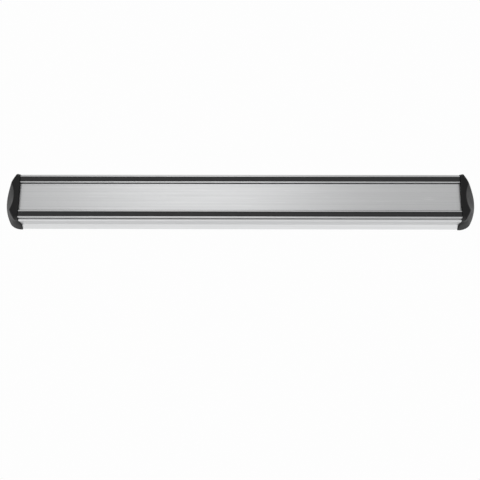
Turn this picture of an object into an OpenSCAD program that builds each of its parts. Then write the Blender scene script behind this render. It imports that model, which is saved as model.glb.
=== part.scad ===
// Wall-mounted magnetic knife rack: an aluminium rail with two magnetic grip strips and pull-off end caps.
// X runs along the rack, +Y points into the wall and +Z is up. The origin lies on the wall, midway between
// the two wall screw holes. Sections are drawn in 2D as [y, z] and swept along X.

/* [Rack] */
// Overall length, over both end caps
rack_len = 380; // [330:5:550]
// Depth from the wall to the front of the end caps
rack_depth = 19.5; // [19:0.5:24]
// Height of the rail at the wall
base_h = 44.6; // [44:0.2:48]
// Height of the rail over its shoulders, in front of the flare
front_h = 38.6; // [38.6:0.1:40]

/* [Rail section] */
// Thickness of the rail's front web
web_t = 1.6; // [1.4:0.1:1.8]
// Thickness of the rail's top and bottom walls
wall_t = 1.4; // [1.2:0.1:1.4]
// Height of each rib, which frames a grip strip
rib_h = 5.8; // [5.6:0.1:6]
// Distance between the centre lines of the two ribs
rib_pitch = 28.9; // [28.3:0.1:28.9]
// How far the ribs stand out of the face between them
rib_out = 1.6; // [1:0.1:2]
// How far the shoulders outside the ribs lie behind the grip strips
shoulder_back = 3.3; // [2.8:0.1:3.6]
// Height of the shadow groove between each rib and the face
groove_h = 0.7; // [0.3:0.1:0.8]
// Height of the shadow groove between each rib and its shoulder
shoulder_groove_h = 0.4; // [0.3:0.1:0.6]
// Depth of the shadow grooves
groove_d = 1; // [0.6:0.1:1.2]
// Distance from the wall at which the flare begins
flare_d = 4.7; // [4.5:0.1:6.5]

/* [Grip strips] */
// Visible height of each grip strip
strip_h = 4; // [3.4:0.1:4.2]
// How far the grip strips stand out of the ribs
strip_out = 0.3; // [0.1:0.1:0.5]
// How far the grip strips lie behind the front of the end caps
strip_back = 1.2; // [0.8:0.1:1.4]
// Thickness of the plastic in front of the pole bar
strip_skin = 0.6; // [0.4:0.1:0.8]
// Thickness of each steel pole bar
pole_t = 2.76; // [2.4:0.02:2.8]

/* [Magnets] */
// Least distance between the middles of neighbouring magnets
magnet_space = 49; // [48:1:60]
// Length of each magnet
magnet_len = 44; // [30:1:46]
// Height of each magnet
magnet_h = 6.8; // [6:0.1:6.8]

/* [Back plate] */
// Thickness of the steel back plate
plate_t = 1.4; // [1:0.1:1.6]
// Distance from the middle of each wall screw hole to that end of the rack
hole_inset = 10; // [8:0.5:11]
// Diameter of the wall screw holes
hole_d = 5; // [4:0.5:5.5]
// Height of the end tab that each wall screw hole is in
tab_h = 17; // [14:1:18]
// Number of screws that hold the back plate to the rail
plate_screw_n = 4; // [3:1:5]

/* [End caps] */
// Length of an end cap at the wall, from the rail to its furthest point
cap_len = 15.2; // [15:0.1:18]
// Length of an end cap's front face at mid height, with its rounded edge
cap_front_len = 8.7; // [8:0.1:10]
// Wall thickness of the caps
cap_wall = 1.6; // [1.2:0.1:1.8]
// How far the caps stand proud of the rail above and below
cap_proud = 0.4; // [0.2:0.1:0.6]
// Distance from the wall at which the caps' top and bottom walls begin to spread
cap_flare_d = 13; // [8:0.5:13]
// Rounding of the caps' long front corners
cap_corner_r = 5; // [3:0.5:5.5]
// Length of the tongues that push into the rail
tongue_len = 14; // [10:1:18]
// Radius of the bulging end, seen from the front
bow_r = 30.5; // [28:0.5:34]
// Radius of the finger scoop in each cap's end
scoop_r = 28; // [22:0.5:34]
// Depth of the finger scoop at the front
scoop_depth = 5; // [4:0.5:5.5]

/* [Hidden] */
$fn = 48;
eps = 0.01;
play = 0.05;                        // gap around parts that are pushed together by hand
cap_gap = 0.1;                      // gap between a cap and the rail's cut end

rail_len = rack_len - 2 * cap_len;
rail_end = rail_len / 2;
strip_y = strip_back - rack_depth;  // front of the grip strips
rib_y = strip_y + strip_out;        // front of the ribs
face_y = rib_y + rib_out;           // front face of the rail
web_y = face_y + web_t;             // back of the front web
shoulder_y = strip_y + shoulder_back;
rib_z = rib_pitch / 2;
shoulder_r = 1.3;                   // rounding of the rail's front corners
flare_rise = (base_h - front_h) / 2;
flare_slope = flare_rise / flare_d;
flare_wall = wall_t / cos(atan(flare_slope));   // height of the sloping wall, cut upright

lip_t = 1.2;                        // rear lips that hold the back plate
lip_z = base_h / 2 - 4.2;           // inner edge of each lip
plate_y = -lip_t - plate_t;         // front of the back plate
plate_half_h = front_h / 2 + flare_slope * (flare_d - lip_t - plate_t) - flare_wall - 0.2;

chamber_half = magnet_h / 2 + 0.2;  // half height of the chamber that holds a magnet row
fin_t = 1;                          // wall on the inner side of each chamber
slot_y = plate_y - play;            // front of the slot that the back plate slides into
chamber_back_y = slot_y - 1.2;      // back of the chambers
port_gap = 2.7;                     // gap that the back plate's screws bite into
port_wall = 1.2;

chamber_front_y = shoulder_y + wall_t + 0.1;
strip_brim_t = 0.8;
strip_brim_y = chamber_front_y + play;
pole_back_y = strip_brim_y + strip_brim_t;
magnet_run = rail_len - 4;          // length of rail that the magnets share
magnet_n = floor(magnet_run / magnet_space);
magnet_pitch = magnet_run / magnet_n;
rows = [["upper", 1], ["lower", -1]];

screw_r = 1.3;
screw_len = 7;
screw_head_r = 2.8;
screw_pitch = rail_len * 0.92 / plate_screw_n;

hole_x = rack_len / 2 - hole_inset;
tab_end = rail_end + 11.5;
tab_corner_r = 4;
joggle = lip_t;                     // the tabs step back from the plate to the wall

cap_front_y = -rack_depth;
cap_back_y = -0.2;
cap_half_front = front_h / 2 + cap_proud;
cap_edge_r = 1.6;                   // rounding of the front edge along the bulging end
cap_start = rail_end + cap_gap;
cap_flange_t = 1.5;
cap_end_x = rack_len / 2;
tab_slot_y = plate_y - joggle - 1.8;  // front of the flange's opening for the tab and the screw head
scoop_end_y = -1;                   // the scoop's middle reaches the cap's end at this depth
tongue_t = 1.6;
tongue_front_y = web_y + 0.5;
tongue_back_y = tab_slot_y - 0.8;
tongue_z = rib_z - chamber_half - fin_t - 0.2;  // outer face of each tongue
tongue_low_z = 3.2;

// ---------- helpers ----------

// Points of an arc from angle a0 to a1, in degrees
function arc(c, r, a0, a1, n = 6) =
    [for (i = [0 : n]) let (a = a0 + (a1 - a0) * i / n) [c[0] + r * cos(a), c[1] + r * sin(a)]];

// The upper half of a section and its mirror image, as one closed outline
function both_halves(upper) =
    concat(upper, [for (i = [len(upper) - 1 : -1 : 0]) [upper[i][0], -upper[i][1]]]);

// Sweeps a [y, z] section along X from x0 to x1
module along_x(x0, x1) {
    translate([x0, 0, 0]) rotate([90, 0, 90]) linear_extrude(height = x1 - x0) children();
}

// A rectangle in the [y, z] section
module bar2d(y0, y1, z0, z1) {
    translate([y0, z0]) square([y1 - y0, z1 - z0]);
}

// A box between two corners
module block(lo, hi) {
    translate(lo) cube(hi - lo);
}

// ---------- rail ----------

// Outer half height of the rail at depth y, in the flared part
function flare_z(y) = front_h / 2 + flare_slope * (y + flare_d);

// Outline of the solid rail: face, shadow grooves, ribs, rounded shoulders and the flare to the wall
module rail_outer() {
    rib0 = rib_z - rib_h / 2;
    rib1 = rib_z + rib_h / 2;
    polygon(both_halves(concat(
        [
            [face_y, rib0 - groove_h], [face_y + groove_d, rib0 - groove_h], [face_y + groove_d, rib0],
            [rib_y, rib0], [rib_y, rib1],
            [shoulder_y + groove_d, rib1], [shoulder_y + groove_d, rib1 + shoulder_groove_h],
            [shoulder_y, rib1 + shoulder_groove_h]
        ],
        arc([shoulder_y + shoulder_r, front_h / 2 - shoulder_r], shoulder_r, 180, 90),
        [[-flare_d, front_h / 2], [-0.3, flare_z(-0.3)], [0, base_h / 2 - 0.4]]
    )));
}

// T-slot on the upper side: the opening in the rib and the closed chamber behind it for a row of magnets
module magnet_slot() {
    half = strip_h / 2 + play;
    low_z = rib_z - chamber_half;
    high_z = front_h / 2 - wall_t;
    bend_y = -flare_d + (flare_wall - wall_t) / flare_slope;
    polygon([
        [rib_y - 1, rib_z - half], [chamber_front_y, rib_z - half], [chamber_front_y, low_z],
        [chamber_back_y, low_z], [chamber_back_y, flare_z(chamber_back_y) - flare_wall],
        [bend_y, high_z], [chamber_front_y, high_z], [chamber_front_y, rib_z + half],
        [rib_y - 1, rib_z + half]
    ]);
}

// Slot along the back that the back plate slides into, between the chambers and the rear lips
module plate_slot() {
    slot_half = flare_z(slot_y) - flare_wall;
    polygon(both_halves([
        [slot_y, slot_half], [-lip_t, slot_half], [-lip_t, lip_z], [eps, lip_z]
    ]));
}

// Space between the two chambers, with the port that the back plate's screws bite into
module middle_space() {
    half = rib_z - chamber_half - fin_t;
    port = port_gap / 2;
    bar2d(web_y, slot_y + eps, -port, port);
    bar2d(web_y, slot_y + eps, port + port_wall, half);
    bar2d(web_y, slot_y + eps, -half, -port - port_wall);
}

module rail_section() {
    difference() {
        rail_outer();
        magnet_slot();
        mirror([0, 1]) magnet_slot();
        middle_space();
        plate_slot();
    }
}

module rail_profile() {
    color("silver") along_x(-rail_end, rail_end) rail_section();
}

// ---------- grip strips and pole bars ----------

module grip_strip(side) {
    half = strip_h / 2;
    brim = chamber_half - 0.2;
    soft = 0.2;                     // rounding of the strip's front edges
    color([0.16, 0.16, 0.16]) along_x(-rail_end + 0.1, rail_end - 0.1)
        translate([0, side * rib_z]) difference() {
            polygon(both_halves(concat(
                arc([strip_y + soft, half - soft], soft, 180, 90, 4),
                [[strip_brim_y, half], [strip_brim_y, brim], [pole_back_y, brim]]
            )));
            bar2d(strip_y + strip_skin, pole_back_y + eps, -pole_t / 2 - 0.02, pole_t / 2 + 0.02);
        }
}

module pole_bar(side) {
    color("gray") along_x(-rail_end + 0.1, rail_end - 0.1)
        translate([0, side * rib_z])
            bar2d(strip_y + strip_skin + 0.02, pole_back_y, -pole_t / 2, pole_t / 2);
}

// ---------- magnets ----------

module magnet(side, i) {
    x = (i - (magnet_n + 1) / 2) * magnet_pitch;
    color([0.22, 0.21, 0.21])
        block([x - magnet_len / 2, pole_back_y + play, side * rib_z - magnet_h / 2],
              [x + magnet_len / 2, chamber_back_y - play, side * rib_z + magnet_h / 2]);
}

// ---------- back plate ----------

function screw_x(i) = (i - (plate_screw_n - 1) / 2) * screw_pitch;

// The end tab with its rounded corners, seen along the wall, from the step to its end
module tab_outline() {
    half = tab_h / 2;
    translate([rail_end, -half]) square([tab_end - rail_end - tab_corner_r, tab_h]);
    translate([rail_end, -half + tab_corner_r]) square([tab_end - rail_end, tab_h - 2 * tab_corner_r]);
    for (s = [-1, 1])
        translate([tab_end - tab_corner_r, s * (half - tab_corner_r)]) circle(r = tab_corner_r);
}

module tab_joggle() {
    step_x = rail_end - joggle;
    translate([0, 0, -tab_h / 2]) linear_extrude(height = tab_h) polygon([
        [step_x - 1, plate_y], [step_x, plate_y], [rail_end, plate_y + joggle], [rail_end, 0],
        [rail_end - 0.4, 0], [step_x - 0.4, -joggle], [step_x - 1, -joggle]
    ]);
}

module end_tab() {
    tab_joggle();
    difference() {
        rotate([90, 0, 0]) linear_extrude(height = plate_t) tab_outline();
        translate([hole_x, 1, 0]) rotate([90, 0, 0]) cylinder(d = hole_d, h = plate_t + 2);
    }
}

module back_plate() {
    body_end = rail_end - joggle - 0.5;
    color("lightgray") {
        difference() {
            block([-body_end, plate_y, -plate_half_h], [body_end, -lip_t, plate_half_h]);
            for (i = [0 : plate_screw_n - 1]) translate([screw_x(i), -lip_t, 0]) rotate([90, 0, 0]) {
                translate([0, 0, -1]) cylinder(r = screw_r + 0.3, h = plate_t + 2);
                translate([0, 0, -eps])
                    cylinder(r1 = screw_head_r + 0.1, r2 = screw_r + 0.3, h = plate_t - 0.1);
            }
        }
        end_tab();
        mirror([1, 0, 0]) end_tab();
    }
}

module plate_screw() {
    difference() {
        union() {
            cylinder(r1 = screw_head_r, r2 = screw_r, h = plate_t - 0.1);
            cylinder(r = screw_r, h = screw_len);
        }
        for (a = [0, 90]) rotate(a) translate([-1.5, -0.3, -eps]) cube([3, 0.6, 0.8]);
    }
}

module back_plate_screws() {
    color("gainsboro") for (i = [0 : plate_screw_n - 1])
        translate([screw_x(i), -lip_t, 0]) rotate([90, 0, 0]) plate_screw();
}

// ---------- end caps ----------

// A cap's outline, as high as the rail and cap_proud more, reduced all round by inset, back to y = back
module cap_section(inset, back) {
    slope = flare_rise / cap_flare_d;
    half = cap_half_front - inset;
    front = cap_front_y + inset;
    r = cap_corner_r - inset;
    polygon(both_halves(concat(
        arc([front + r, half - r], r, 180, 90, 12),
        [[-cap_flare_d, half], [back, half + slope * (cap_flare_d + back)]]
    )));
}

// The bulging end: a cone that widens from the front to the wall, with a rounded front edge
module cap_bow(inset, back) {
    lean = (cap_len - cap_front_len) / -cap_front_y;    // growth in radius for each mm towards the wall
    front = cap_front_y + inset;
    r = max(0.3, cap_edge_r - inset);
    front_r = bow_r - inset / cos(atan(lean)) + lean * inset;
    edge_c = front_r + lean * r - r / cos(atan(lean));
    translate([rail_end + cap_front_len - bow_r, 0, 0]) rotate([90, 0, 0]) rotate_extrude($fn = 96)
        polygon(concat(
            [[0, -back], [front_r + lean * (back - front), -back]],
            arc([edge_c, -front - r], r, atan(lean), 90),
            [[0, -front]]
        ));
}

module cap_body(inset, back) {
    intersection() {
        along_x(cap_start, cap_end_x + 1) cap_section(inset, back);
        cap_bow(inset, back);
    }
}

// The finger scoop: a slanting cylinder that is deepest at the front and runs out near the wall
module scoop(extra) {
    front_x = rail_end + cap_front_len - scoop_depth;
    slant = atan((cap_end_x - front_x) / (scoop_end_y - cap_front_y));
    translate([front_x, cap_front_y, 0]) rotate([0, 0, -slant]) translate([scoop_r, -20, 0])
        rotate([-90, 0, 0]) cylinder(r = scoop_r + extra, h = 60, $fn = 96);
}

module cap_cavity() {
    difference() {
        cap_body(cap_wall, 1);
        block([cap_start - 1, -50, -50], [cap_start + cap_flange_t, 50, 50]);
        scoop(cap_wall);
    }
}

// Opening in the flange for the tab and the head of the wall screw
module cap_tab_slot() {
    half = tab_h / 2 + 1;
    block([cap_start - 1, tab_slot_y, -half], [cap_start + cap_flange_t + 1, 1, half]);
}

module cap_tongue() {
    x0 = cap_start - tongue_len;
    along_x(x0, cap_start + eps) {
        bar2d(tongue_front_y, tongue_back_y, tongue_z - tongue_t, tongue_z);
        bar2d(tongue_front_y, tongue_front_y + tongue_t, tongue_low_z, tongue_z);
    }
}

module end_cap() {
    difference() {
        cap_body(0, cap_back_y);
        scoop(0);
        cap_cavity();
        cap_tab_slot();
    }
    cap_tongue();
    mirror([0, 0, 1]) cap_tongue();
}

module right_end_cap() {
    color([0.1, 0.1, 0.1]) end_cap();
}

module left_end_cap() {
    color([0.1, 0.1, 0.1]) mirror([1, 0, 0]) end_cap();
}

// ---------- assembly ----------

rail_profile();
back_plate();
back_plate_screws();
for (r = rows) {
    grip_strip(r[1]);
    pole_bar(r[1]);
    for (i = [1 : magnet_n])
        magnet(r[1], i);
}
left_end_cap();
right_end_cap();
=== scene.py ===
import math

import bmesh
import bpy
import numpy as np
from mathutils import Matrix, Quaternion, Vector


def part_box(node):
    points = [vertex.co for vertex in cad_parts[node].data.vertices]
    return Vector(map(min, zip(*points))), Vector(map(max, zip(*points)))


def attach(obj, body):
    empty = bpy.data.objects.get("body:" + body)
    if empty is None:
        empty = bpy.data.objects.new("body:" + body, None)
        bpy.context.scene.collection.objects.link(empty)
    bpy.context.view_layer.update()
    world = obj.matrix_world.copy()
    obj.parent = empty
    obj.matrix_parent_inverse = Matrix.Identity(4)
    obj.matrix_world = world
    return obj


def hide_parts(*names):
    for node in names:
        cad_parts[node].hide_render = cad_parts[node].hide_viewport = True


# Looks of the magnetic knife rack. Row frame in metres: X along the rack, +Y into the wall, Z up.
# The end caps are built here; every other piece is its CAD node with a worked material.

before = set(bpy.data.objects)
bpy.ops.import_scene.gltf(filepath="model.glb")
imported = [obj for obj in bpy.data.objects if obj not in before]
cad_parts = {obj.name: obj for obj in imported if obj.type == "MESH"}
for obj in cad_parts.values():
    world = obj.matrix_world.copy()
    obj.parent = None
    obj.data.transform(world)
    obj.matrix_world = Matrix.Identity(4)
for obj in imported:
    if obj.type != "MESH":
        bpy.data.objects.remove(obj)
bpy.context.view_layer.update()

MM = 0.001
MAGNET_ROWS = ("upper", "lower")


# ---------- node trees ----------

class Tree:
    """Short calls for building a shader node tree."""

    def __init__(self, owner):
        owner.use_nodes = True
        self.tree = owner.node_tree
        self.tree.nodes.clear()

    def add(self, kind, inputs=None, **settings):
        """A node of that kind. A value in inputs is a number, a colour, or another node's output socket."""
        node = self.tree.nodes.new("ShaderNode" + kind)
        for name, value in settings.items():
            setattr(node, name, value)
        for name, value in (inputs or {}).items():
            self.put(node, name, value)
        return node

    def put(self, node, name, value):
        """Sets a node's input to a value, or links another node's output to it."""
        socket = node.inputs[name]
        if isinstance(value, bpy.types.NodeSocket):
            self.tree.links.new(value, socket)
        else:
            socket.default_value = value

    def coords(self, scale):
        """The row frame's coordinates, multiplied by a scale for each axis."""
        where = self.add("TexCoord").outputs["Object"]
        return self.add("Mapping", {"Vector": where, "Scale": scale}).outputs["Vector"]

    def noise(self, scale, detail=2.0, rough=0.5, distortion=0.0):
        """Noise whose features are 1/scale metres long on each axis."""
        return self.add("TexNoise", {"Vector": self.coords(scale), "Scale": 1.0, "Detail": detail,
                                     "Roughness": rough, "Distortion": distortion}).outputs["Fac"]

    def ranged(self, value, low, high, start=0.3, end=0.7):
        """The value's span from start to end, turned into low to high."""
        return self.add("MapRange", {"Value": value, "From Min": start, "From Max": end,
                                     "To Min": low, "To Max": high}).outputs["Result"]

    def math(self, operation, a, b=0.0):
        """The result of one arithmetic step. b is ignored by steps that take one number."""
        node = self.add("Math", operation=operation)
        self.put(node, 0, a)
        self.put(node, 1, b)
        return node.outputs[0]

    def mixed(self, fac, a, b):
        """Colour a where fac is 0 and b where it is 1."""
        node = self.add("Mix", data_type="RGBA")
        self.put(node, "Factor", fac)
        for index, colour in ((6, a), (7, b)):
            if isinstance(colour, bpy.types.NodeSocket):
                self.tree.links.new(colour, node.inputs[index])
            else:
                node.inputs[index].default_value = (*colour, 1.0)
        return node.outputs[2]

    def blended(self, fac, a, b):
        """Number a where fac is 0 and b where it is 1."""
        return self.add("Mix", {"Factor": fac, "A": a, "B": b}, data_type="FLOAT").outputs["Result"]

    def bump(self, height, depth, strength):
        """The surface's normal, bent by a relief of height times depth, in metres."""
        node = self.add("Bump", {"Height": height, "Distance": depth, "Strength": strength})
        return node.outputs["Normal"]


def surface(name, **values):
    """A material with one Principled shader. Returns the material, its Tree and the shader."""
    material = bpy.data.materials.new(name)
    tree = Tree(material)
    shader = tree.add("BsdfPrincipled")
    out = tree.add("OutputMaterial")
    tree.tree.links.new(shader.outputs["BSDF"], out.inputs["Surface"])
    for key, value in values.items():
        tree.put(shader, key.replace("_", " "), value)
    return material, tree, shader


# ---------- materials ----------

# Painted shade: the grooves beside each rib, where the aluminium's colour is darkened to stand in for the
# shade inside them, in millimetres: from and to in height above or below the rack's middle, then from and
# to in Y
GROOVE_SHADE = ((10.83, 11.57, -16.35, -15.25), (17.33, 17.77, -14.95, -13.85))
SIDEWAYS = 0.9                  # X of a unit normal from which a face counts as looking along the rack


def between(t, value, low, high):
    """1 where the value lies between low and high, and 0 elsewhere."""
    return t.math("MULTIPLY", t.math("GREATER_THAN", value, low), t.math("LESS_THAN", value, high))


def painted_groove_shade(t):
    """1 inside the grooves, where shade is painted into the aluminium's colour, and 0 elsewhere."""
    where = t.add("SeparateXYZ", {"Vector": t.coords((1 / MM, 1 / MM, 1 / MM))})
    height = t.math("ABSOLUTE", where.outputs["Z"])
    total = 0.0
    for low, high, mouth, bottom in GROOVE_SHADE:
        across = between(t, height, low, high)
        deep = between(t, where.outputs["Y"], mouth, bottom)
        total = t.math("ADD", total, t.math("MULTIPLY", across, deep))
    return total


def facing_x(t):
    """1 on faces that look along the rack, such as the rail's cut ends, and 0 elsewhere."""
    split = t.add("SeparateXYZ", {"Vector": t.add("TexCoord").outputs["Normal"]})
    return t.math("GREATER_THAN", t.math("ABSOLUTE", split.outputs["X"]), SIDEWAYS)


def facing_middle(t):
    """1 on faces that look towards the rack's middle, such as a cap's flank beside the rail."""
    normal = t.add("SeparateXYZ", {"Vector": t.add("TexCoord").outputs["Normal"]})
    place = t.add("SeparateXYZ", {"Vector": t.add("TexCoord").outputs["Object"]})
    inward = t.math("MULTIPLY", normal.outputs["X"], t.math("SIGN", place.outputs["X"]))
    return t.math("LESS_THAN", inward, -SIDEWAYS)


def brushed_aluminium():
    """Extruded aluminium, brushed along the rack, with the saw's finish on its cut ends and painted shade
    in its grooves.
    """
    material, t, shader = surface("brushed_aluminium", Metallic=1.0, Anisotropic=0.6)
    t.put(shader, "Tangent", t.add("Tangent", direction_type="RADIAL", axis="X").outputs["Tangent"])
    streaks = t.noise((16.0, 5200.0, 5200.0), detail=4.0, rough=0.65)
    bands = t.noise((4.0, 600.0, 600.0), detail=2.0)
    scratches = t.noise((45.0, 1500.0, 1500.0), detail=1.0)
    saw = t.noise((500.0, 260.0, 7000.0), detail=3.0, distortion=0.3)
    cut = facing_x(t)
    colour = t.mixed(t.ranged(bands, 0.0, 1.0), (0.735, 0.74, 0.745), (0.795, 0.80, 0.805))
    colour = t.mixed(t.ranged(scratches, 0.0, 0.5, 0.66, 0.74), colour, (0.87, 0.875, 0.88))
    # painted shade: the grooves are coloured dark grey to stand in for the shade that falls in them
    colour = t.mixed(painted_groove_shade(t), colour, (0.12, 0.12, 0.13))
    sawn = t.mixed(saw, (0.60, 0.605, 0.61), (0.78, 0.785, 0.79))
    t.put(shader, "Base Color", t.mixed(cut, colour, sawn))
    t.put(shader, "Roughness", t.blended(cut, t.ranged(streaks, 0.33, 0.45), t.ranged(saw, 0.30, 0.5)))
    fine = t.math("MULTIPLY", streaks, 0.1)
    t.put(shader, "Normal", t.bump(t.blended(cut, fine, saw), 0.00008, 0.4))
    return material


def black_vinyl():
    """The extruded grip strips: faint lines along them, and dull marks where blades are pulled off."""
    material, t, shader = surface("black_vinyl", Specular_IOR_Level=0.35)
    lines = t.noise((9.0, 2600.0, 2600.0), detail=3.0)
    rubbed = t.noise((130.0, 500.0, 25.0), detail=3.0)
    t.put(shader, "Base Color", t.mixed(lines, (0.022, 0.022, 0.023), (0.034, 0.034, 0.035)))
    t.put(shader, "Roughness", t.ranged(rubbed, 0.45, 0.58))
    t.put(shader, "Normal", t.bump(lines, 0.00002, 0.4))
    return material


def black_cap_plastic():
    """Black moulded plastic: a fine grain, a little polished by fingers, and dull beside the rail."""
    material, t, shader = surface("black_cap_plastic", Specular_IOR_Level=0.3)
    grain = t.noise((2400.0, 2400.0, 2400.0), detail=2.0)
    handled = t.noise((140.0, 140.0, 140.0), detail=3.0)
    t.put(shader, "Base Color", t.mixed(grain, (0.004, 0.004, 0.0045), (0.008, 0.008, 0.0085)))
    t.put(shader, "Roughness", t.blended(facing_middle(t), t.ranged(handled, 0.36, 0.46), 0.8))
    t.put(shader, "Normal", t.bump(grain, 0.00003, 0.35))
    return material


def bare_steel():
    """Cold-drawn bars, with faint brown specks."""
    material, t, shader = surface("bare_steel", Metallic=1.0)
    drawn = t.noise((60.0, 3000.0, 3000.0), detail=3.0)
    specks = t.noise((900.0, 900.0, 900.0), detail=3.0)
    colour = t.mixed(drawn, (0.42, 0.42, 0.43), (0.55, 0.55, 0.56))
    t.put(shader, "Base Color", t.mixed(t.ranged(specks, 0.0, 0.6, 0.64, 0.72), colour, (0.22, 0.16, 0.12)))
    t.put(shader, "Roughness", t.ranged(drawn, 0.25, 0.4))
    t.put(shader, "Normal", t.bump(drawn, 0.00002, 0.4))
    return material


def zinc_plated(name, cloud_size):
    """Zinc plate with cloudy grey and faintly blue patches over rolled sheet or turned steel."""
    material, t, shader = surface(name, Metallic=1.0)
    cloud = t.noise((1.0 / cloud_size,) * 3, detail=4.0, distortion=0.4)
    tint = t.noise((0.25 / cloud_size,) * 3, detail=2.0)
    rolled = t.noise((12.0, 1800.0, 1800.0), detail=3.0)
    colour = t.mixed(t.ranged(cloud, 0.0, 1.0), (0.52, 0.535, 0.56), (0.66, 0.67, 0.67))
    colour = t.mixed(t.ranged(tint, 0.0, 0.35, 0.4, 0.65), colour, (0.60, 0.63, 0.70))
    t.put(shader, "Base Color", colour)
    t.put(shader, "Roughness", t.ranged(cloud, 0.28, 0.44))
    t.put(shader, "Normal", t.bump(t.math("ADD", cloud, rolled), 0.00003, 0.35))
    return material


def ferrite():
    """Ground ferrite: dark grey, with fine grinding lines and small chips."""
    material, t, shader = surface("ferrite", Specular_IOR_Level=0.4)
    ground = t.noise((500.0, 3000.0, 3000.0), detail=3.0)
    chips = t.noise((650.0, 650.0, 650.0), detail=4.0, rough=0.7)
    chipped = t.ranged(chips, 0.0, 1.0, 0.64, 0.70)
    colour = t.mixed(ground, (0.04, 0.038, 0.037), (0.07, 0.067, 0.065))
    t.put(shader, "Base Color", t.mixed(chipped, colour, (0.02, 0.019, 0.019)))
    t.put(shader, "Roughness", t.blended(chipped, 0.6, 0.85))
    t.put(shader, "Normal", t.bump(t.math("SUBTRACT", ground, chipped), 0.00004, 0.5))
    return material


# ---------- CAD nodes ----------

SMOOTH_BELOW = math.radians(32)     # edges that turn by less are shaded smooth
BEVEL_ABOVE = math.radians(40)      # edges that turn by more are softened


def dress(node, material, bevel=0.0):
    """Gives a CAD node its material, and softens its edges by bevel millimetres."""
    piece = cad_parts[node]
    piece.data.materials.clear()
    piece.data.materials.append(material)
    piece.data.shade_smooth()
    piece.data.set_sharp_from_angle(angle=SMOOTH_BELOW)
    if bevel:
        soft = piece.modifiers.new("edges", "BEVEL")
        soft.width = bevel * MM
        soft.segments = 2
        soft.limit_method = "ANGLE"
        soft.angle_limit = BEVEL_ABOVE
        soft.harden_normals = True


def dress_cad_nodes():
    """Dresses every CAD node but the two end caps, which mouldings replace."""
    steel = bare_steel()
    vinyl = black_vinyl()
    magnet = ferrite()
    dress("rail_profile", brushed_aluminium(), bevel=0.1)
    dress("back_plate", zinc_plated("zinc_plated_steel", 0.014), bevel=0.1)
    dress("back_plate_screws", zinc_plated("screw_steel", 0.002))
    for row in MAGNET_ROWS:
        dress(row + "_grip_strip", vinyl)
        dress(row + "_pole_bar", steel, bevel=0.1)
    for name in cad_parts:
        if "_magnet_" in name:
            dress(name, magnet, bevel=0.3)


# ---------- end caps ----------

# The right cap's moulding, in millimetres along the row frame's axes
RAIL_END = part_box("rail_profile")[1].x / MM
CAP_START = RAIL_END + 0.1      # a small gap beside the rail's cut end
CAP_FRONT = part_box("right_end_cap")[0].y / MM
CAP_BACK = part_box("right_end_cap")[1].y / MM
CAP_HALF_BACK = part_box("right_end_cap")[1].z / MM
CAP_HALF_FRONT = 19.7
FLARE_Y = -13.0                 # the top and bottom walls spread from here to the wall
FLARE_RISE = 3.0
FLARE_SLOPE = FLARE_RISE / -FLARE_Y
FLARE_BLEND = 1.5               # half the length of the soft bend there
CAP_FRONT_LEN = 8.7             # front face at mid height, from the rail
CAP_LEN = 15.2                  # the same at the wall
BOW_R = 30.5                    # the bulging end, seen from the front
BOW_LEAN = (CAP_LEN - CAP_FRONT_LEN) / -CAP_FRONT
SCOOP_R = 28.0
SCOOP_DEPTH = 5.0               # at the front
SCOOP_END_Y = -1.0              # where the scoop's middle reaches the cap's end
SCOOP_FRONT = RAIL_END + CAP_FRONT_LEN - SCOOP_DEPTH
SCOOP_SLANT = math.atan((RAIL_END + CAP_LEN - SCOOP_FRONT) / (SCOOP_END_Y - CAP_FRONT))
WALL = 1.6
ROUND_LONG = 4.7                # the long front corners
ROUND_TIP = (1.2, 4.4)          # where the top and bottom walls meet the bulging end: front, wall
ROUND_FRONT = 1.6               # the front edge along the bulging end
ROUND_RAIL = 0.35               # the edge beside the rail
ROUND_SCOOP = 0.8
RAIL_DROP = 0.9                 # how far the top and bottom walls dip towards the rail, at the front
DROP_LEN = 3.0                  # length along X over which they dip
DROP_Y = (-14.0, -9.0)          # the dip is whole in front of the first and gone behind the second
RAY_MARGIN = 0.02               # the field's side beside the rail lies this far outside the skin's rays


def both(a, b, r):
    """Distance field of what lies inside both a and b, with their shared edge rounded to radius r."""
    return np.minimum(-r, np.maximum(a, b)) + np.hypot(np.maximum(r + a, 0), np.maximum(r + b, 0))


def cap_field(p):
    """Roughly the distance in millimetres from the right cap's outer skin, negative inside it."""
    x, y, z = p[..., 0], p[..., 1], p[..., 2]
    past = y - FLARE_Y
    bend = np.maximum(past, 0) + 0.25 / FLARE_BLEND * np.maximum(FLARE_BLEND - np.abs(past), 0) ** 2
    low = RAIL_DROP * np.interp(x - CAP_START, (0, DROP_LEN), (1, 0)) * np.interp(y, DROP_Y, (1, 0))
    walls = (np.abs(z) - CAP_HALF_FRONT + low - FLARE_SLOPE * bend) * math.cos(math.atan(FLARE_SLOPE) / 2)
    front = CAP_FRONT - y
    radius = BOW_R + BOW_LEAN * (y - CAP_FRONT)
    bow = (np.hypot(x - RAIL_END - CAP_FRONT_LEN + BOW_R, z) - radius) * math.cos(math.atan(BOW_LEAN))
    tip = np.interp(y, (CAP_FRONT, CAP_BACK), ROUND_TIP)
    body = np.maximum(both(walls, front, ROUND_LONG), both(walls, bow, tip))
    body = np.maximum(body, both(bow, front, ROUND_FRONT))
    across = (x - SCOOP_FRONT) * math.cos(SCOOP_SLANT) - (y - CAP_FRONT) * math.sin(SCOOP_SLANT)
    scoop = SCOOP_R - np.hypot(across - SCOOP_R, z)
    body = both(body, scoop, ROUND_SCOOP)
    return both(body, CAP_START - RAY_MARGIN - x, ROUND_RAIL)


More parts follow.
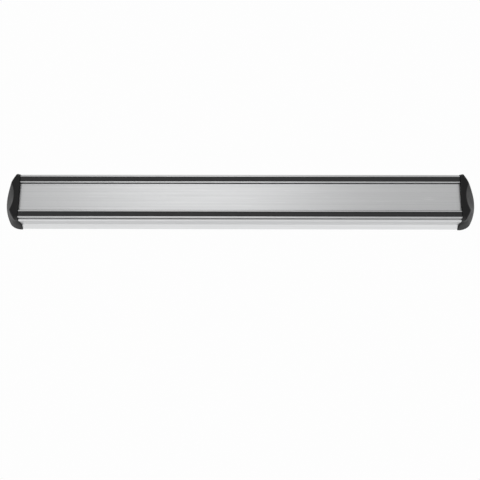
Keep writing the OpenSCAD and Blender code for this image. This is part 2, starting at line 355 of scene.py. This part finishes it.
def cap_skin(inset, rows, columns):
    """Points on the cap's skin, or inset below it, on rays from the corner of the rail and the wall."""
    turn = np.linspace(0, math.pi / 2, columns + 1)[None, :]
    rise = np.linspace(-math.pi / 2, math.pi / 2, rows + 1)[:, None]
    rays = np.stack([np.cos(rise) * np.cos(turn), -np.cos(rise) * np.sin(turn),
                     np.sin(rise) * np.ones_like(turn)], -1)
    corner = np.array([CAP_START, CAP_BACK, 0.0])
    reach, halvings = 40.0, 36
    near, far = np.zeros(rays.shape[:2]), np.full(rays.shape[:2], reach)
    for _ in range(halvings):
        middle = (near + far) / 2
        inside = cap_field(corner + rays * middle[..., None]) < -inset
        near, far = np.where(inside, middle, near), np.where(inside, far, middle)
    return corner + rays * near[..., None]


def field_normals(points):
    """The field's slope at each point, as unit vectors that point out of the cap."""
    step = 0.01
    slope = [cap_field(points + step * axis) - cap_field(points - step * axis) for axis in np.eye(3)]
    slope = np.stack(slope, -1)
    return slope / np.linalg.norm(slope, axis=-1, keepdims=True)


def cap_shell():
    """The cap's open box: its outer skin, its inner skin and the rims that join them.

    Returns points, faces and loop normals.
    """
    rows, columns = 240, 130        # steps from bottom to top, and from the wall round to the front
    outer, inner = cap_skin(0.0, rows, columns), cap_skin(WALL, rows, columns)
    skins = np.stack([outer, inner])
    normals = np.stack([field_normals(outer), -field_normals(inner)])
    number = np.arange(skins[..., 0].size).reshape(skins.shape[:3])
    # The rays of the lowest row are one ray, and so are those of the highest
    number[:, 0, :] = number[:, 0, :1]
    number[:, rows, :] = number[:, rows, :1]
    points, flat = skins.reshape(-1, 3), normals.reshape(-1, 3)
    faces, loops = [], []

    def face(corners, rim=None):
        """Adds a face with the skin's normals or, on a rim, with the rim's one normal."""
        ring = [c for i, c in enumerate(corners) if c != corners[i - 1]]
        if len(ring) > 2:
            faces.append(ring)
            loops.extend([rim] * len(ring) if rim else [tuple(flat[c]) for c in ring])

    for i in range(rows):
        for j in range(columns):
            face([number[0, i, j], number[0, i + 1, j], number[0, i + 1, j + 1], number[0, i, j + 1]])
            face([number[1, i, j], number[1, i, j + 1], number[1, i + 1, j + 1], number[1, i + 1, j]])
        for j, rim in ((0, (0, 1, 0)), (columns, (-1, 0, 0))):
            ring = [number[0, i, j], number[1, i, j], number[1, i + 1, j], number[0, i + 1, j]]
            face(ring if j == 0 else ring[::-1], rim)
    return points, faces, loops


def extruded(outline, x0, x1, soft):
    """Points, faces and loop normals of a [y, z] outline swept along X, its edges rounded by soft."""
    mesh = bmesh.new()
    low = mesh.faces.new([mesh.verts.new((x0, y, z)) for y, z in outline])
    grown = bmesh.ops.extrude_face_region(mesh, geom=[low])["geom"]
    moved = [v for v in grown if isinstance(v, bmesh.types.BMVert)]
    bmesh.ops.translate(mesh, verts=moved, vec=(x1 - x0, 0, 0))
    bmesh.ops.recalc_face_normals(mesh, faces=mesh.faces)
    bmesh.ops.bevel(mesh, geom=mesh.edges[:], offset=soft, segments=2, profile=0.5, affect="EDGES")
    mesh.verts.index_update()
    points = np.array([v.co[:] for v in mesh.verts])
    faces = [[v.index for v in f.verts] for f in mesh.faces]
    loops = [tuple(f.normal) for f in mesh.faces for _ in f.verts]
    mesh.free()
    return points, faces, loops


def mirrored_outline(upper):
    """The upper half of a [y, z] outline and its mirror image, as one closed outline."""
    return upper + [(y, -z) for y, z in reversed(upper)]


def cap_flange():
    """The wall across the cap beside the rail, with the opening for the tab and the screw head."""
    near, far, soft = 0.05, 1.5, 0.2        # its two sides, measured from the cap's start
    slot_half, slot_y = 9.5, -5.6
    inset = 0.8                             # keeps the front and its corners inside the skin
    half = CAP_HALF_FRONT - 1.4             # under the dip towards the rail
    back_half, back_y = CAP_HALF_BACK - 0.9, CAP_BACK - 0.1
    front, corner, arc_points = CAP_FRONT + inset, ROUND_LONG - inset, 9
    arc = [(front + corner * (1 - math.sin(a)), half - corner * (1 - math.cos(a)))
           for a in np.linspace(math.pi / 2, 0, arc_points)]
    upper = arc + [(FLARE_Y, half), (back_y, back_half), (back_y, slot_half), (slot_y, slot_half)]
    return extruded(mirrored_outline(upper), CAP_START + near, CAP_START + far, soft)


def cap_tongue(side):
    """One L-shaped tongue that pushes into the rail: the upper one with side 1, the lower with -1."""
    length, root, soft = 14.0, 0.4, 0.25    # root: how far it goes beyond the cap's start, into the flange
    front, back, outer, inner, thick = -14.3, -6.4, 9.65, 3.2, 1.6
    outline = [(front, inner), (front, outer), (back, outer), (back, outer - thick),
               (front + thick, outer - thick), (front + thick, inner)]
    return extruded([(y, side * z) for y, z in outline], CAP_START - length, CAP_START + root, soft)


def end_cap(node, body, side, material):
    """The moulding that replaces a cap's CAD node: the right one with side 1, its mirror image with -1."""
    points, faces, loops, count = [], [], [], 0
    for solid in (cap_shell(), cap_flange(), cap_tongue(1), cap_tongue(-1)):
        points.append(solid[0])
        faces.extend([[corner + count for corner in f] for f in solid[1]])
        loops.extend(solid[2])
        count += len(solid[0])
    points = np.concatenate(points) * MM
    used = sorted({corner for f in faces for corner in f})
    place = {corner: i for i, corner in enumerate(used)}
    faces = [[place[corner] for corner in f] for f in faces]
    points, loops = points[used], np.array(loops)
    if side < 0:
        points[:, 0] *= -1
        loops[:, 0] *= -1
        lengths = np.cumsum([0] + [len(f) for f in faces])
        loops = np.concatenate([loops[a:b][::-1] for a, b in zip(lengths[:-1], lengths[1:])])
        faces = [f[::-1] for f in faces]
    mesh = bpy.data.meshes.new(node + "_moulding")
    mesh.from_pydata(points.tolist(), [], faces)
    mesh.shade_smooth()
    mesh.normals_split_custom_set(loops.tolist())
    mesh.materials.append(material)
    piece = bpy.data.objects.new(node + "_moulding", mesh)
    bpy.context.scene.collection.objects.link(piece)
    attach(piece, body)
    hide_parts(node)


# ---------- stage, light and camera ----------

CAMERA_DISTANCE = 0.600
CAMERA_BELOW = math.radians(14.4)       # the camera looks up at the rack
CAMERA_SIDE = math.radians(1.0)         # and stands a little to its right
CAMERA_ROLL = math.radians(0.37)
AIM = Vector((0.0011, -0.020, -0.0361))     # below the rack's middle
LENS, SENSOR = 57.96, 36.0              # focal length and sensor width in millimetres
STUDIO_LEVELS = (0.545, 0.60)           # world's strength in reflections, in front and behind
BACKDROP_LEVEL = 0.985                  # world's strength as the camera sees it
FLOOR_Z, FLOOR_R, FLOOR_SIDES = -1.0, 1.6, 96


def add_camera():
    """A camera in front of the rack and below it, aimed at AIM."""
    level = Vector((math.sin(CAMERA_SIDE), -math.cos(CAMERA_SIDE), 0.0))
    back = level * math.cos(CAMERA_BELOW) - Vector((0.0, 0.0, math.sin(CAMERA_BELOW)))
    data = bpy.data.cameras.new("camera")
    data.sensor_width = SENSOR
    data.lens = LENS
    data.clip_start = 0.01
    camera = bpy.data.objects.new("camera", data)
    camera.location = AIM + back * CAMERA_DISTANCE
    facing = (-back).to_track_quat("-Z", "Y")
    camera.rotation_euler = (facing @ Quaternion((0.0, 0.0, 1.0), CAMERA_ROLL)).to_euler()
    bpy.context.scene.collection.objects.link(camera)
    bpy.context.scene.camera = camera


def add_soft_light(name, place, size, power):
    """A rectangular light that shines at the middle of the rack."""
    data = bpy.data.lights.new(name, "AREA")
    data.shape = "RECTANGLE"
    data.size, data.size_y = size
    data.energy = power
    light = bpy.data.objects.new(name, data)
    light.location = place
    light.rotation_euler = (Vector() - Vector(place)).to_track_quat("-Z", "Y").to_euler()
    light.visible_camera = False
    bpy.context.scene.collection.objects.link(light)


def add_world():
    """White behind the object, and a dimmer studio around it for the reflections."""
    world = bpy.data.worlds.new("studio")
    bpy.context.scene.world = world
    t = Tree(world)
    split = t.add("SeparateXYZ", {"Vector": t.add("TexCoord").outputs["Generated"]})
    studio = t.ranged(split.outputs["Y"], *STUDIO_LEVELS, start=-0.9, end=0.9)
    seen = t.add("LightPath").outputs["Is Camera Ray"]
    level = t.blended(seen, studio, BACKDROP_LEVEL)
    sky = t.add("Background", {"Color": (1.0, 1.0, 1.0, 1.0), "Strength": level})
    out = t.add("OutputWorld")
    t.tree.links.new(sky.outputs["Background"], out.inputs["Surface"])


def add_floor():
    """A pale disc well below the rack, which lights its underside a little."""
    turns = [2 * math.pi * i / FLOOR_SIDES for i in range(FLOOR_SIDES)]
    ring = [(FLOOR_R * math.cos(a), FLOOR_R * math.sin(a), FLOOR_Z) for a in turns]
    mesh = bpy.data.meshes.new("floor")
    mesh.from_pydata(ring, [], [tuple(range(FLOOR_SIDES))])
    floor = bpy.data.objects.new("floor", mesh)
    bpy.context.scene.collection.objects.link(floor)
    material, t, shader = surface("floor_white", Roughness=0.9, Emission_Strength=0.28)
    t.put(shader, "Base Color", (0.9, 0.9, 0.9, 1.0))
    t.put(shader, "Emission Color", (1.0, 1.0, 1.0, 1.0))
    mesh.materials.append(material)


add_camera()
add_world()
add_floor()
add_soft_light("key", place=(-0.12, -1.1, 0.45), size=(0.5, 0.5), power=0.8)
add_soft_light("below", place=(0.0, -0.1, -0.9), size=(1.6, 0.9), power=1.0)
dress_cad_nodes()
cap_plastic = black_cap_plastic()
end_cap("right_end_cap", "right_cap", 1, cap_plastic)
end_cap("left_end_cap", "left_cap", -1, cap_plastic)
bpy.context.scene.view_settings.view_transform = "Standard"
